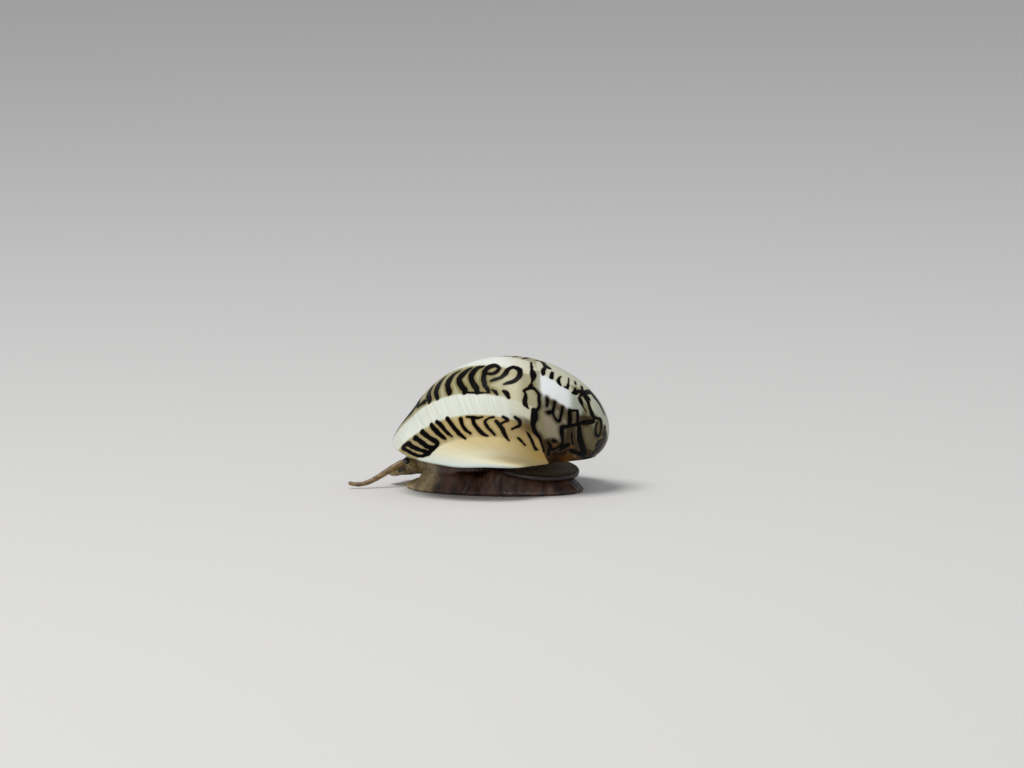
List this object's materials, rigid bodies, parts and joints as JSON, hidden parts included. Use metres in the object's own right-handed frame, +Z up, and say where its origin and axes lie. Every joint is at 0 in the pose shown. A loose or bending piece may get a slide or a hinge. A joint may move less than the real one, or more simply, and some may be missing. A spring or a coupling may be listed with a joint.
{
  "type": "nerite snail",
  "caption": "Crawling freshwater nerite snail: low domed spiral shell over a flat oval foot, with a broad two-lobed snout, thin tentacles and eyes on short stalks",
  "frame": {"origin": "The middle of the flat sole, on the floor the snail crawls on.", "axes": "+X points the way the snail crawls, +Y to its left and +Z up."},
  "size_m": [0.0179, 0.0135, 0.0095],
  "materials": {
    "shell": "glossy lime shell with dark brown zigzag stripes on cream spiral bands",
    "shelf": "smooth ivory callus",
    "flesh_dark": "moist, finely streaked",
    "flesh_pale": "moist, slightly translucent",
    "operculum": "horny plate with fine growth lines",
    "eye": "wet black"
  },
  "bodies": {
    "root": {"shell_body_whorl": "shell", "shell_spire": "shell", "columellar_shelf": "shelf", "body_in_shell": "flesh_dark", "mantle_edge": "flesh_dark", "foot_front": "flesh_dark", "foot_rear": "flesh_dark", "operculum": "operculum", "head": "flesh_dark", "snout": "flesh_pale", "tentacle_left_root": "flesh_pale", "tentacle_left_tip": "flesh_pale", "tentacle_right_root": "flesh_pale", "tentacle_right_tip": "flesh_pale", "eye_stalk_left": "flesh_pale", "eye_stalk_right": "flesh_pale", "eye_left": "eye", "eye_right": "eye"}
  },
  "joints": []
}
